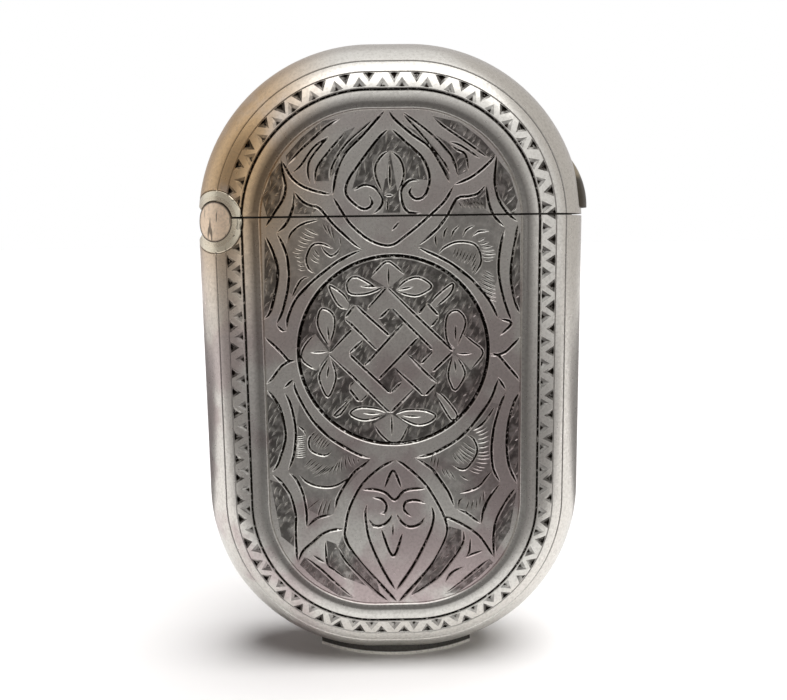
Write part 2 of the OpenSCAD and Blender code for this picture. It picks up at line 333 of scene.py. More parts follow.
straps = [
    # ring, outer edge
    [(-2.15, 9.05), (-3.4, 8.55), (-4.3, 8.05), (-5.95, 6.8), (-7.3, 5.45), (-8.0, 4.0), (-8.15, 3.0)],
    [(2.0, 9.2), (2.85, 8.8), (4.5, 7.95), (6.15, 6.65), (7.5, 5.0), (8.2, 3.6)],
    [(-7.7, -1.0), (-7.55, -1.9), (-6.4, -4.1), (-4.95, -5.65), (-2.95, -6.9), (-1.85, -7.3)],
    [(8.25, -1.0), (7.5, -2.9), (6.05, -4.9), (4.85, -6.0), (3.05, -7.0), (1.6, -7.3)],
    # left side, above
    [(-8.2, 15.9), (-8.1, 14.95), (-7.9, 13.95), (-8.1, 12.95), (-8.95, 11.7), (-9.55, 10.8)],
    [(-7.3, 13.5), (-7.3, 12.7), (-7.55, 11.85), (-8.0, 11.0), (-8.7, 10.38)],
    [(-8.7, 10.38), (-8.3, 9.65), (-7.95, 8.6), (-7.85, 7.2), (-8.0, 6.0), (-8.45, 4.4), (-8.95, 3.4)],
    [(-9.55, 10.2), (-9.05, 9.1), (-8.7, 7.8), (-8.8, 6.45), (-9.35, 4.45), (-9.9, 3.8)],
    # left crossing
    [(-9.9, 2.5), (-9.15, 1.8), (-8.5, 1.1), (-8.05, 0.6), (-7.5, 0.55)],
    [(-9.9, -1.25), (-9.4, -0.8), (-8.8, 0.0), (-8.3, 0.4), (-7.5, 0.7)],
    [(-8.95, 3.4), (-8.45, 2.95), (-8.1, 2.9)],
    [(-8.55, -1.6), (-7.7, -0.8)],
    # left side, below
    [(-9.85, -1.65), (-9.4, -2.2), (-8.85, -3.2), (-8.55, -4.6), (-8.55, -5.8), (-9.2, -7.7), (-9.7, -8.3)],
    [(-8.5, -1.9), (-8.1, -2.65), (-7.8, -4.0), (-7.7, -5.2), (-7.9, -6.9), (-8.35, -8.15)],
    [(-9.65, -8.5), (-9.05, -9.0), (-8.3, -10.2), (-7.9, -11.8), (-7.95, -13.4), (-7.9, -15.8)],
    [(-8.35, -8.4), (-7.85, -8.8), (-7.3, -10.0), (-7.05, -11.5), (-7.05, -12.95)],
    # right side, above
    [(8.0, 16.0), (7.9, 14.95), (7.85, 13.95), (8.15, 12.7), (8.8, 11.7), (9.65, 11.0)],
    [(7.2, 13.8), (7.4, 12.5), (7.8, 11.5), (8.65, 10.6)],
    [(8.65, 10.55), (8.35, 9.35), (8.2, 8.2), (8.2, 7.1), (8.5, 5.5), (8.95, 4.1), (9.25, 3.4)],
    [(9.65, 10.9), (9.45, 9.7), (9.15, 7.8), (9.15, 6.45), (9.5, 4.8), (9.95, 3.9)],
    # right crossing
    [(7.55, 0.75), (8.2, 0.85), (8.7, 1.0), (9.3, 1.55), (9.95, 2.25)],
    [(7.55, 0.95), (8.15, 0.8), (8.95, -0.1), (9.7, -1.0), (9.95, -1.4)],
    [(8.3, 2.3), (9.2, 3.3), (8.2, 3.65)],
    [(8.15, -0.9), (8.85, -2.05)],
    # right side, below
    [(9.95, -2.05), (9.4, -3.1), (9.0, -4.7), (8.9, -6.4), (9.1, -8.1), (9.75, -9.6)],
    [(8.85, -2.1), (8.4, -3.1), (7.9, -4.9), (7.7, -6.6), (7.85, -8.3), (8.4, -9.45)],
    [(9.65, -9.85), (8.95, -10.9), (8.2, -12.3), (7.9, -13.7), (7.95, -15.7)],
    [(8.4, -9.55), (7.7, -10.45), (7.1, -11.6), (6.9, -12.9)],
    # points of the upper straps
    [(-8.15, 15.8), (-7.5, 14.6), (-6.8, 13.95), (-6.05, 13.6), (-5.2, 13.35), (-4.4, 13.2)],
    [(-7.3, 13.5), (-6.7, 12.75), (-6.05, 12.4), (-5.4, 12.2), (-4.3, 10.9), (-2.95, 9.65), (-2.15, 9.05)],
    [(-4.4, 13.1), (-3.6, 11.75), (-2.95, 10.85), (-1.6, 9.75), (-0.1, 9.35), (1.15, 10.1),
     (2.7, 11.35), (4.05, 12.6), (4.75, 13.75)],
    [(7.95, 16.0), (7.5, 15.5), (6.7, 14.8), (5.95, 14.3), (4.75, 13.8)],
    [(7.2, 13.8), (6.6, 13.15), (5.85, 12.95), (5.0, 12.8), (4.3, 11.6), (3.5, 10.55), (2.0, 9.3)],
    # points of the lower straps
    [(-7.05, -12.95), (-6.6, -12.45), (-5.95, -12.05), (-4.9, -11.85)],
    [(-7.85, -15.8), (-7.4, -14.85), (-6.6, -14.15), (-5.85, -13.5), (-4.95, -13.15), (-4.0, -13.1)],
    [(6.9, -12.85), (6.4, -12.45), (5.7, -11.9), (4.9, -11.55)],
    [(7.95, -15.7), (6.95, -14.1), (6.15, -13.35), (5.3, -12.8), (4.3, -12.3), (3.7, -12.2)],
    # upper cartouche, outside
    [(-0.3, 19.35), (-0.83, 18.8), (-2.05, 17.5), (-3.3, 16.3), (-4.0, 14.95), (-4.4, 13.1)],
    [(-0.1, 19.35), (0.33, 18.7), (1.6, 17.6), (2.95, 16.6), (3.95, 15.05), (4.5, 13.9)],
    # upper cartouche, inside, with its two volutes
    [(-0.1, 18.0), (-0.95, 17.2), (-2.3, 15.5), (-3.2, 14.2), (-3.35, 13.2), (-2.5, 12.3),
     (-1.85, 12.1), (-1.4, 12.5), (-1.65, 13.2)],
    [(-2.8, 13.45), (-2.05, 13.9), (-1.2, 13.7), (-0.6, 12.85), (-0.85, 12.15), (-1.4, 11.7)],
    [(0.1, 18.0), (0.95, 17.2), (2.4, 15.85), (2.95, 14.4), (2.6, 13.1), (1.9, 12.8), (1.4, 13.3),
     (1.7, 13.8)],
    [(2.2, 14.15), (1.5, 14.2), (0.85, 13.6), (0.85, 12.6), (1.3, 11.85), (2.3, 11.75)],
    # lower cartouche, outside
    [(0.1, -7.45), (-1.15, -8.1), (-2.6, -9.45), (-3.6, -11.35), (-3.95, -12.9), (-3.95, -14.05),
     (-2.85, -15.85), (-1.3, -17.7), (0.1, -19.35)],
    [(0.1, -7.45), (0.95, -8.0), (2.5, -9.55), (3.7, -11.65), (4.15, -13.0), (4.0, -14.1),
     (2.85, -16.3), (0.85, -18.6), (0.2, -19.35)],
    [(-1.85, -7.35), (-2.5, -7.9), (-3.3, -8.55), (-4.45, -10.35), (-4.75, -11.5)],
    [(1.6, -7.3), (2.95, -8.2), (3.6, -9.1), (4.3, -10.2), (4.75, -11.4)],
    # lower cartouche, inside, with its two volutes
    [(-2.2, -11.0), (-2.35, -12.0), (-2.05, -14.05), (-1.05, -16.5), (-0.05, -18.3)],
    [(2.9, -11.2), (3.1, -12.2), (2.7, -13.7), (1.45, -16.2), (0.05, -18.3)],
    [(-2.6, -9.85), (-1.6, -9.85), (-0.7, -10.15), (0.0, -10.75), (0.7, -10.05), (1.5, -9.85),
     (2.5, -9.85)],
    [(-0.85, -9.85), (-0.1, -8.35), (0.6, -9.9)],
    [(-1.8, -10.5), (-1.05, -10.65), (-0.65, -11.2), (-0.85, -11.85), (-1.25, -11.85)],
    [(-2.15, -12.2), (-1.7, -12.85), (-1.05, -12.85), (-0.5, -12.45), (-0.15, -11.8)],
    [(2.5, -11.1), (1.7, -10.8), (0.85, -10.95), (0.75, -11.6), (1.35, -12.2)],
    [(0.1, -11.8), (0.5, -12.55), (1.15, -13.0), (1.95, -12.8), (2.45, -12.1)],
    [(-1.15, -13.05), (-0.2, -15.4), (0.65, -13.4)],
]


def engrave(lines, width, *faces):
    """Cuts smooth lines of one width into these faces."""
    for line in lines:
        for face in faces:
            face.cut(curve(line), width)


engrave(straps, strap_width, front, back)


# The leaves
# Long leaves fill the corners of the panel beside the cartouches, and a bud grows inside the upper one.
# They are thinner cuts of the same graver.
leaf_width = 0.28
leaves = [
    [(0.0, 16.4), (-0.6, 16.05), (-1.1, 15.3), (-1.1, 14.5), (-0.6, 13.3)],
    [(0.0, 16.4), (0.7, 15.8), (1.0, 14.95), (0.9, 14.1), (0.5, 13.4)],
    [(-0.05, 15.6), (-0.05, 13.5)],
    [(-0.5, 13.1), (0.25, 13.1)],
    [(-0.25, 12.8), (-0.25, 11.8)],
    [(0.0, 10.4), (0.7, 11.2)],
    [(-7.7, 15.4), (-6.8, 16.4), (-5.8, 17.3), (-4.7, 18.2), (-3.6, 18.8)],
    [(-7.4, 14.8), (-6.7, 15.4), (-5.7, 16.7), (-4.5, 17.5)],
    [(-6.05, 14.0), (-6.2, 14.95), (-6.0, 15.8), (-5.05, 16.95), (-4.5, 17.4)],
    [(-5.7, 14.0), (-5.5, 15.2), (-4.5, 16.5), (-3.3, 17.8)],
    [(-4.6, 14.2), (-4.3, 15.4), (-3.2, 17.0), (-1.3, 18.6)],
    [(0.95, 19.05), (2.5, 17.4), (3.95, 15.6), (4.5, 14.6)],
    [(0.95, 19.2), (3.05, 17.6), (4.6, 15.95), (5.1, 14.4)],
    [(3.2, 18.85), (3.95, 18.15), (5.05, 17.4), (6.2, 16.6), (7.3, 15.8)],
    [(4.4, 17.0), (5.3, 16.7), (6.8, 15.7)],
    [(4.4, 16.85), (5.05, 16.4), (5.65, 16.05), (5.9, 14.8)],
    [(-4.65, -14.5), (-3.95, -15.85), (-2.15, -17.85), (-0.6, -19.3)],
    [(-5.6, -14.0), (-5.5, -15.95), (-4.95, -16.5), (-3.95, -17.3)],
    [(-7.3, -15.4), (-6.05, -16.4), (-4.95, -17.5), (-3.4, -18.9)],
    [(-6.7, -15.2), (-5.6, -15.95)],
    [(5.5, -13.3), (5.4, -14.5), (4.15, -16.4), (3.15, -17.5), (1.15, -18.85)],
    [(6.05, -13.9), (5.95, -15.15), (5.6, -15.7)],
    [(7.15, -15.05), (6.15, -15.4), (5.6, -15.7)],
    [(5.5, -16.4), (4.5, -16.95), (4.0, -17.7)],
    [(7.6, -15.8), (6.6, -16.6), (5.5, -17.5), (3.9, -18.7)],
    [(-0.15, -12.6), (-0.2, -13.8)],
]
engrave(leaves, leaf_width, front, back)


# The feathered scrolls
# A curled leaf fills each spandrel between the ring and the straps. It is cut with a finer graver, and rows
# of short strokes, the lines of two points here, feather its sides.
scroll_width = 0.27
feather_width = 0.21
feather_stretch = 1.25
feather_gap = 0.95
scrolls = [
    # upper left
    [(-7.95, 9.55), (-7.6, 10.35), (-7.05, 10.85), (-6.4, 11.15), (-5.4, 11.35)],
    [(-5.85, 7.3), (-6.3, 7.65), (-6.5, 8.4), (-6.05, 9.4), (-5.3, 9.55), (-4.4, 9.15)],
    [(-5.35, 9.5), (-5.15, 9.05), (-4.6, 8.6), (-4.1, 8.9), (-3.85, 9.35)],
    [(-6.2, 7.1), (-6.95, 6.8), (-7.75, 5.4)],
    [(-6.5, 10.7), (-5.6, 10.25)], [(-6.9, 10.1), (-6.1, 9.8)], [(-7.1, 9.5), (-6.5, 9.3)],
    [(-7.5, 8.95), (-6.9, 8.85)], [(-7.2, 8.3), (-6.7, 8.2)], [(-7.1, 7.65), (-6.6, 7.55)],
    [(-5.2, 11.1), (-4.8, 10.3)], [(-4.6, 11.0), (-4.3, 9.7)], [(-3.9, 10.1), (-3.85, 9.4)],
    [(-5.9, 9.2), (-5.5, 8.6)], [(-6.2, 8.5), (-5.6, 8.1)],
    # upper right
    [(3.6, 8.6), (3.95, 9.1), (5.05, 9.55), (6.4, 9.3), (6.85, 8.1), (6.3, 7.0)],
    [(4.9, 9.1), (4.7, 8.45)], [(5.4, 9.0), (5.15, 8.2)], [(5.95, 8.8), (5.55, 8.0)],
    [(6.5, 8.8), (6.05, 7.8)], [(6.5, 7.9), (6.15, 7.2)],
    [(3.45, 9.1), (3.35, 9.9), (3.5, 10.3)], [(4.0, 9.6), (4.05, 10.3), (4.4, 10.8)],
    [(4.55, 9.7), (4.7, 10.3), (5.3, 10.9)], [(5.4, 9.8), (5.7, 10.45), (6.4, 10.8)],
    [(6.15, 9.9), (6.6, 10.3), (7.5, 10.35)], [(6.6, 9.55), (7.15, 9.85)], [(6.9, 9.1), (7.7, 9.2)],
    [(6.85, 8.7), (7.9, 8.6)], [(7.05, 8.1), (7.7, 8.15)], [(7.05, 7.35), (7.8, 6.9)],
    [(6.7, 6.8), (7.85, 6.2)], [(6.7, 6.2), (7.9, 5.6)], [(7.15, 5.45), (7.95, 5.0)],
    [(5.1, 12.6), (5.4, 12.1)], [(5.65, 12.7), (5.95, 12.1)], [(6.15, 12.8), (6.5, 12.1)],
    [(6.7, 12.8), (7.05, 12.0)],
    # lower left
    [(-6.05, -5.0), (-6.65, -5.65), (-6.55, -6.55), (-5.5, -7.0), (-4.8, -6.6)],
    [(-7.55, -8.55), (-6.85, -9.2), (-5.85, -9.55), (-4.7, -9.5), (-3.4, -8.75)],
    [(-7.6, -4.5), (-7.05, -4.95), (-6.9, -5.45)],
    [(-6.6, -5.6), (-6.15, -5.1)], [(-6.3, -6.1), (-5.6, -5.3)], [(-5.9, -6.45), (-5.3, -5.5)],
    [(-5.5, -6.5), (-5.0, -5.95)],
    [(-7.05, -7.85), (-6.4, -7.2)], [(-6.6, -8.2), (-5.8, -7.5)], [(-6.3, -8.7), (-5.2, -7.8)],
    [(-5.6, -8.5), (-4.9, -7.9)], [(-4.9, -8.5), (-4.4, -7.5)], [(-4.2, -8.4), (-4.1, -7.2)],
    [(-3.4, -7.9), (-3.7, -7.0)], [(-2.8, -7.7), (-2.9, -7.2)],
    [(-6.95, -11.4), (-6.05, -10.65)], [(-6.2, -12.1), (-5.7, -10.7)], [(-5.45, -11.9), (-5.1, -10.7)],
    # lower right
    [(8.0, -3.2), (7.15, -4.45), (6.2, -5.2)],
    [(5.65, -5.45), (6.3, -5.9), (6.55, -7.0), (5.6, -8.3), (4.5, -7.9)],
    [(7.8, -8.4), (7.3, -9.0), (6.6, -9.8), (5.15, -10.3)],
    [(5.5, -6.1), (6.5, -6.8)], [(5.2, -6.6), (6.3, -7.4)], [(5.0, -6.9), (5.9, -7.8)],
    [(4.6, -7.1), (5.1, -7.8)],
    [(6.3, -5.15), (7.15, -4.65)], [(6.7, -5.55), (7.45, -5.2)], [(6.7, -6.2), (7.45, -6.0)],
    [(6.7, -6.95), (7.45, -6.85)], [(6.6, -7.45), (7.5, -7.45)], [(6.45, -8.0), (7.15, -8.2)],
    [(5.95, -8.35), (6.7, -8.65)], [(5.2, -8.8), (5.85, -9.2)], [(4.3, -8.3), (4.85, -9.2)],
    [(3.7, -8.1), (4.05, -8.9)], [(3.35, -8.3), (3.55, -7.2)], [(2.85, -7.9), (3.05, -7.1)],
    [(5.05, -11.55), (5.15, -10.9), (5.55, -10.65)], [(5.7, -11.65), (5.95, -10.9)],
    [(6.45, -11.65), (6.6, -10.8)], [(7.1, -11.0), (7.1, -10.1)],
]
scrolls += [[(-7.7, q), (-7.0, q + 0.05)] for q in (-5.4, -5.75, -6.1, -6.4, -6.75, -7.1)]
feathers = [np.array(line) for line in scrolls if len(line) == 2]
# a stroke more between any two that stand close together
feathers += [
    (first + second) / 2
    for first, second in zip(feathers, feathers[1:])
    if np.linalg.norm(first - second, axis=1).max() < feather_gap
]
middles = [line.mean(axis=0) for line in feathers]
feathers = [middle + (line - middle) * feather_stretch for middle, line in zip(middles, feathers)]
engrave([line for line in scrolls if len(line) > 2], scroll_width, front, back)
engrave(feathers, feather_width, front, back)


# The knot in the ring
# A square frame stands on its point, with two straps woven through it corner to corner, and a three-leaf
# spray grows from each of its points. The knot's cuts end bluntly where one strap goes under another.
knot_width = 0.3
spray_width = 0.26
knot = [
    # frame, outside, broken where the strap from upper left to lower right lies over it
    [(-3.1, 3.0), (-4.95, 1.15), (-0.25, -3.65), (1.7, -1.75)],
    [(3.05, -0.45), (4.7, 1.15), (-0.4, 6.15), (-1.9, 4.5)],
    # frame, inside
    [(-2.25, 2.2), (-3.4, 1.05), (-0.2, -2.1), (0.7, -1.15)],
    [(2.15, 0.15), (3.15, 1.25), (-0.1, 4.6), (-1.05, 3.75)],
    # strap from upper left to lower right
    [(-1.15, 1.3), (-3.65, 3.85), (-2.85, 4.85), (-0.2, 2.4)],
    [(1.1, 0.95), (3.4, -1.35), (2.45, -2.35), (0.1, -0.05)],
    # strap from upper right to lower left
    [(-2.25, 0.05), (0.85, 3.4)],
    [(-1.2, -1.05), (2.05, 2.3)],
    [(2.0, 4.05), (2.65, 4.95), (3.6, 3.9), (2.95, 3.05)],
    [(-3.0, -1.1), (-3.45, -1.65), (-2.65, -2.75), (-1.95, -2.05)],
]
for line in knot:
    for start, stop in zip(line, line[1:]):
        front.cut(curve([start, stop]), knot_width, blunt=True)

sprays = [
    # left
    [(-5.95, 2.65), (-6.6, 2.0), (-7.05, 1.2), (-6.95, 0.55), (-5.95, -0.2)],
    [(-6.4, 1.22), (-5.0, 1.25)],
    [(-4.9, 1.6), (-5.65, 3.0), (-5.75, 3.8), (-5.4, 4.6), (-4.6, 4.2), (-4.45, 3.2), (-4.9, 1.7)],
    [(-5.0, 3.4), (-4.9, 1.9)],
    [(-4.9, 0.9), (-5.65, -0.35), (-5.7, -1.1), (-5.1, -2.3), (-4.5, -1.1), (-4.5, -0.2), (-4.85, 0.8)],
    [(-5.15, -0.9), (-4.95, 0.3)],
    # right
    [(5.45, 2.45), (6.15, 1.9), (7.0, 1.0), (6.05, -0.35)],
    [(4.95, 0.95), (6.15, 0.95)],
    [(4.85, 1.35), (4.3, 1.8), (4.1, 2.9), (4.3, 4.0), (5.05, 4.3), (5.65, 3.35), (5.0, 1.5)],
    [(4.85, 1.9), (4.9, 3.3)],
    [(4.65, 0.9), (4.3, -0.65), (4.5, -1.45), (4.85, -1.95), (5.55, -0.9), (5.5, -0.2), (4.9, 0.8)],
    [(4.8, 0.55), (4.9, -0.55)],
    # top
    [(-1.6, 6.9), (-1.4, 7.2), (-0.45, 8.1), (0.15, 7.9), (1.0, 7.1)],
    [(-0.25, 7.8), (-0.25, 6.2)],
    [(-0.45, 6.3), (-1.6, 5.8), (-2.5, 5.65), (-3.3, 5.8), (-3.4, 6.6), (-2.7, 7.0), (-1.05, 6.1)],
    [(-0.9, 6.2), (-2.5, 6.3)],
    [(0.3, 5.95), (1.05, 6.65), (2.05, 6.9), (3.05, 6.2), (2.05, 5.55), (1.2, 5.6), (0.3, 5.9)],
    [(0.4, 5.95), (1.7, 6.2)],
    # bottom
    [(-1.6, -4.5), (-0.95, -5.45), (-0.1, -6.1), (0.6, -5.8), (1.15, -4.65)],
    [(-0.15, -3.75), (-0.15, -5.55)],
    [(-0.6, -3.65), (-1.3, -3.3), (-2.7, -3.2), (-3.4, -3.65), (-2.7, -4.1), (-1.85, -4.15), (-0.7, -3.8)],
    [(-1.0, -3.7), (-2.4, -3.65)],
    [(0.15, -3.8), (0.95, -3.45), (2.4, -3.5), (3.3, -3.95), (2.7, -4.5), (1.7, -4.6), (0.3, -3.9)],
    [(0.7, -3.9), (2.2, -4.0)],
    # between them
    [(-3.4, 4.5), (-4.15, 4.9), (-4.8, 6.35), (-3.7, 5.65), (-3.3, 4.9)],
    [(2.95, 4.8), (3.4, 5.45), (4.65, 6.4), (4.5, 5.65), (3.3, 4.55)],
    [(3.35, -2.05), (3.95, -2.45), (5.0, -3.9), (4.55, -4.3), (3.4, -2.4)],
    [(-3.4, -2.45), (-3.85, -3.0), (-4.65, -3.8), (-4.2, -3.75), (-3.3, -2.6)],
]
engrave(sprays, spray_width, front)


# The matted ground
# Where the pattern's ground shows, it is scraped with short bright strokes, and tarnish stays between them.
# Shapes are listed in the order they are laid, each with how far it is matted: ground, then what stands on
# it, then the ground inside that.
ground_inset = 0.1
ring_ground = ring_middle + (ring_inner - ground_inset) * circle
knot_grounds = [
    (ring_ground, 1),
    ([(-0.35, 6.1), (4.7, 1.15), (-0.2, -3.6), (-4.95, 1.15)], 0),
    ([(-3.65, 3.85), (-2.85, 4.85), (3.4, -1.35), (2.45, -2.35)], 0),
    ([(2.65, 4.95), (3.6, 3.9), (-2.65, -2.75), (-3.45, -1.65)], 0),
    ([(-2.3, 2.2), (-1.25, 1.2), (-2.2, 0.05), (-3.4, 1.0)], 1),
    ([(2.0, 2.35), (3.15, 1.3), (2.2, 0.2), (1.1, 1.0)], 1),
    ([(-0.05, 4.55), (-1.05, 3.8), (-0.15, 2.45), (0.85, 3.5)], 1),
    ([(0.1, 0.0), (-1.2, -1.0), (-0.15, -2.1), (0.7, -1.1)], 1),
]
knot_grounds += [(curve(line), 0) for line in sprays if len(line) > 2]
knot_grounds += [
    # the foot of each middle leaf
    ([(-1.6, 6.9), (1.0, 7.1), (-0.3, 6.1)], 0),
    ([(-5.95, 2.65), (-5.95, -0.2), (-4.9, 1.2)], 0),
    ([(5.45, 2.45), (6.05, -0.35), (4.75, 1.1)], 0),
    ([(-1.6, -4.5), (1.15, -4.65), (-0.2, -3.7)], 0),
]
strap_grounds = [
    # the spandrels round the ring, under their feathered scrolls
    ([(-8.0, 9.5), (-7.6, 10.35), (-7.05, 10.85), (-6.4, 11.15), (-5.4, 11.5), (-4.3, 10.9),
      (-2.15, 9.05), (-4.3, 8.05), (-5.95, 6.8), (-7.3, 5.45), (-8.0, 6.0), (-7.85, 7.2),
      (-7.95, 8.6)], 0.5),
    ([(8.35, 9.35), (8.65, 10.5), (7.8, 11.5), (6.6, 12.3), (5.0, 12.7), (4.3, 11.6), (3.5, 10.55),
      (2.0, 9.3), (4.5, 7.95), (6.15, 6.65), (7.5, 5.0), (8.2, 7.1), (8.2, 8.2)], 0.5),
    ([(-7.7, -5.2), (-7.9, -6.9), (-8.35, -8.2), (-7.5, -9.3), (-6.9, -11.4), (-5.9, -12.0),
      (-4.9, -11.8), (-4.45, -10.35), (-1.85, -7.35), (-2.95, -6.9), (-4.95, -5.65), (-6.4, -4.1),
      (-7.3, -2.6)], 0.5),
    ([(8.3, -3.1), (7.5, -2.9), (6.05, -4.9), (4.85, -6.0), (3.05, -7.0), (1.6, -7.3), (2.95, -8.2),
      (4.3, -10.2), (4.8, -11.5), (5.7, -11.8), (6.8, -12.6), (7.6, -10.5), (8.3, -9.5), (7.7, -6.6),
      (7.9, -4.9)], 0.5),
    ([(-7.25, 13.1), (-6.6, 12.55), (-5.6, 12.1), (-6.0, 11.75), (-7.3, 11.8)], 1),
    ([(7.15, 13.5), (6.5, 12.95), (5.2, 12.6), (6.0, 12.1), (7.2, 12.0)], 1),
    # outside the corner leaves
    ([(-7.7, 15.4), (-6.8, 16.4), (-4.7, 18.2), (-3.6, 18.8), (-5.0, 18.6), (-6.6, 17.4), (-7.8, 16.1)], 1),
    ([(7.6, 15.7), (6.2, 16.6), (3.95, 18.15), (3.2, 18.85), (5.2, 18.4), (6.8, 17.2), (7.9, 16.0)], 1),
    ([(-7.3, -15.4), (-6.05, -16.4), (-3.4, -18.9), (-4.6, -18.7), (-6.4, -17.4), (-7.7, -16.0)], 1),
    ([(7.6, -15.8), (6.6, -16.6), (3.9, -18.7), (5.0, -18.6), (6.6, -17.4), (7.9, -16.1)], 1),
    # beside the straps, against the rim of the panel
    ([(-8.25, 15.6), (-8.1, 13.9), (-8.4, 12.7), (-9.3, 11.4), (-9.7, 13.0), (-9.0, 14.7)], 1),
    ([(-9.6, 10.0), (-9.05, 9.1), (-8.75, 7.8), (-8.85, 6.45), (-9.4, 4.45), (-9.85, 4.0)], 1),
    ([(-9.85, -2.0), (-9.4, -2.4), (-8.9, -3.3), (-8.65, -4.7), (-8.65, -5.8), (-9.3, -7.6),
      (-9.85, -8.0)], 1),
    ([(-9.85, -8.9), (-9.05, -9.2), (-8.35, -10.3), (-8.0, -11.8), (-8.1, -14.5), (-9.1, -13.6)], 1),
    ([(8.1, 15.6), (7.95, 13.95), (8.25, 12.8), (9.3, 11.5), (9.6, 12.6), (9.0, 14.5)], 1),
    ([(9.8, 10.3), (9.5, 9.4), (9.25, 7.8), (9.25, 6.45), (9.55, 4.9), (9.85, 4.4)], 1),
    ([(9.85, -2.5), (9.45, -3.3), (9.05, -4.7), (9.0, -6.4), (9.2, -8.1), (9.8, -9.2)], 1),
    ([(9.7, -10.2), (8.95, -11.1), (8.25, -12.5), (7.95, -13.8), (8.1, -15.2), (9.2, -13.3)], 1),
    # inside the cartouches
    ([(0.0, 17.9), (-0.95, 17.1), (-2.3, 15.4), (-2.9, 13.6), (-2.0, 14.0), (-1.1, 13.8), (-0.4, 12.6),
      (-0.6, 11.8), (0.7, 11.8), (0.8, 13.5), (1.5, 14.3), (2.8, 14.2), (2.3, 15.8), (0.95, 17.1)], 1),
    (curve(leaves[0]), 0),
    (curve(leaves[1]), 0),
    # between the corner leaves and the cartouches
    ([(-4.6, 14.4), (-4.3, 15.5), (-3.2, 17.1), (-1.4, 18.6), (-2.05, 17.7), (-3.4, 16.3),
      (-4.1, 14.9)], 1),
    ([(-5.6, 14.2), (-5.3, 15.4), (-3.4, 17.8), (-2.6, 18.1), (-4.2, 16.0), (-4.6, 14.2)], 1),
    ([(4.5, 14.2), (3.95, 15.2), (2.95, 16.7), (1.2, 18.2), (2.5, 17.5), (4.0, 15.7)], 1),
    ([(5.1, 14.5), (4.6, 15.95), (3.05, 17.7), (4.2, 17.0), (5.65, 16.0), (5.8, 14.8)], 1),
    ([(-4.1, -13.3), (-4.6, -14.6), (-3.9, -16.0), (-1.2, -18.9), (-1.5, -17.6), (-3.6, -14.9)], 1),
    ([(-5.5, -14.0), (-5.4, -16.0), (-4.0, -17.2), (-2.4, -17.9), (-4.1, -15.9), (-4.75, -14.3)], 1),
    ([(4.3, -13.0), (5.3, -13.3), (5.3, -14.6), (3.1, -17.5), (1.2, -18.7), (2.95, -16.3),
      (4.1, -14.1)], 1),
]
fully_matted = 0.9
clear_of_cuts = 0.005
field = 24.0
stroke_lean = math.radians(62)
stroke_pitch = 0.42
stroke_width = 0.17
stroke_step = 0.06
stroke_length = (0.45, 1.25)
stroke_swing = 0.22
stroke_shift = 0.09
shortest_stroke = 4
left_out = 0.15


def inside(points, shape):
    """Which points lie inside a closed shape."""
    shape = np.asarray(shape, dtype=float)
    after = np.roll(shape, -1, axis=0)
    held = np.zeros(len(points), dtype=bool)
    for (ax, aq), (bx, bq) in zip(shape, after):
        if abs(bq - aq) < tiny:
            continue
        crosses = (aq > points[:, 1]) != (bq > points[:, 1])
        meet = (bx - ax) * (points[:, 1] - aq) / (bq - aq) + ax
        held ^= crosses & (points[:, 0] < meet)
    return held


def on_ground(points, shapes):
    """How far the ground is matted at each point, from 0 to 1."""
    ground = np.zeros(len(points))
    for shape, matted in shapes:
        ground[inside(points, shape)] = matted
    return ground


def matting(engraving, shapes, seed):
    """Short strokes over the ground, uneven in place, length and lean, as a hand cuts them."""
    rng = np.random.default_rng(seed)
    heading = np.array((math.cos(stroke_lean), math.sin(stroke_lean)))
    across = np.array((-heading[1], heading[0]))
    along = np.arange(-field, field, stroke_step)
    for offset in np.arange(-field, field, stroke_pitch):
        shift = rng.uniform(-stroke_shift, stroke_shift)
        line = across * (offset + shift) + heading * along[:, None]
        held = (on_ground(line, shapes) > fully_matted) & (engraving.depth(line) < clear_of_cuts)
        starts = np.flatnonzero(np.diff(held.astype(int), prepend=0) == 1)
        stops = np.flatnonzero(np.diff(held.astype(int), append=0) == -1)
        for start, stop in zip(starts, stops):
            while stop - start > shortest_stroke + 1:
                end = min(start + int(rng.uniform(*stroke_length) / stroke_step), stop)
                swing = rng.normal(0.0, stroke_swing)
                if end - start > shortest_stroke and rng.uniform() > left_out:
                    middle = line[(start + end) // 2]
                    lean = heading * math.cos(swing) + across * math.sin(swing)
                    half = lean * (end - start) * stroke_step / 2
                    engraving.cut(np.array((middle - half, middle, middle + half)), stroke_width)
                start = end + 1


front_grounds = knot_grounds + strap_grounds
back_grounds = strap_grounds
for engraving, shapes in ((front, front_grounds), (back, back_grounds)):
    for shape, matted in shapes:
        engraving.keep(np.asarray(shape), closed=True)
matting(front, front_grounds, 4)
matting(back, back_grounds, 5)


# Silver
# Old sterling, worn soft: a grey metal that blurs what it mirrors. A warm bloom lies over the hinge side
# and a mauve one lower down, fine pits break up the gloss, and grime stays wherever a cloth can't reach.
# Painted shade darkens the band into the sunk panel, the split, the lip and the striker's sides, and painted
# highlights are left along the lip's edge and the striker's foot.
def linear(code):
    """A colour written as sRGB hex, as the renderer takes it."""
    parts = [int(code[i:i + 2], 16) / 255 for i in (1, 3, 5)]
    return (*(p / 12.92 if p <= 0.04045 else ((p + 0.055) / 1.055) ** 2.4 for p in parts), 1.0)


def add(tree, kind, sockets=(), out=0, **settings):
    """A node with its settings. Each socket takes a value or another node's output. Gives one output."""
    node = tree.nodes.new("ShaderNode" + kind)
    for name, value in settings.items():
        setattr(node, name, value)
    for name, value in dict(sockets).items():
        if isinstance(value, bpy.types.NodeSocket):
            tree.links.new(value, node.inputs[name])
        else:
            node.inputs[name].default_value = value
    return node.outputs[out]


